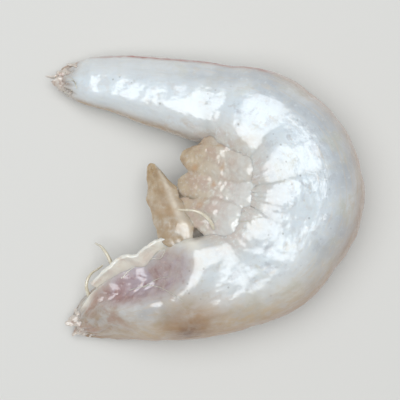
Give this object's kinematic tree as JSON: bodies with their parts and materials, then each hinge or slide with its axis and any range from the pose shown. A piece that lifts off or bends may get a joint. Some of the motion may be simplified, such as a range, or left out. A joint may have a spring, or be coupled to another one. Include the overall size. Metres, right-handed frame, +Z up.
{
  "type": "prawn",
  "caption": "Raw white prawn, headless and peeled, curled on its side in a C, with a rag of skin, sinews and what is left of its swimming legs on the belly side.",
  "frame": {"origin": "middle of the prawn's outline seen from above, on the flat it lies on", "axes": "+Z up off the flat, +X towards the outside of the bend, +Y from the cut front end towards the tail"},
  "size_m": [0.0431, 0.0385, 0.0136],
  "materials": {
    "flesh": "wet, bluish grey, slightly see-through raw meat",
    "skin": "wet, thin, cream to pink membrane",
    "leg_tissue": "wet, beige to orange brown soft tissue",
    "sinew": "wet, cream threads"
  },
  "bodies": {
    "root": {"prawn": "flesh"}
  },
  "joints": []
}
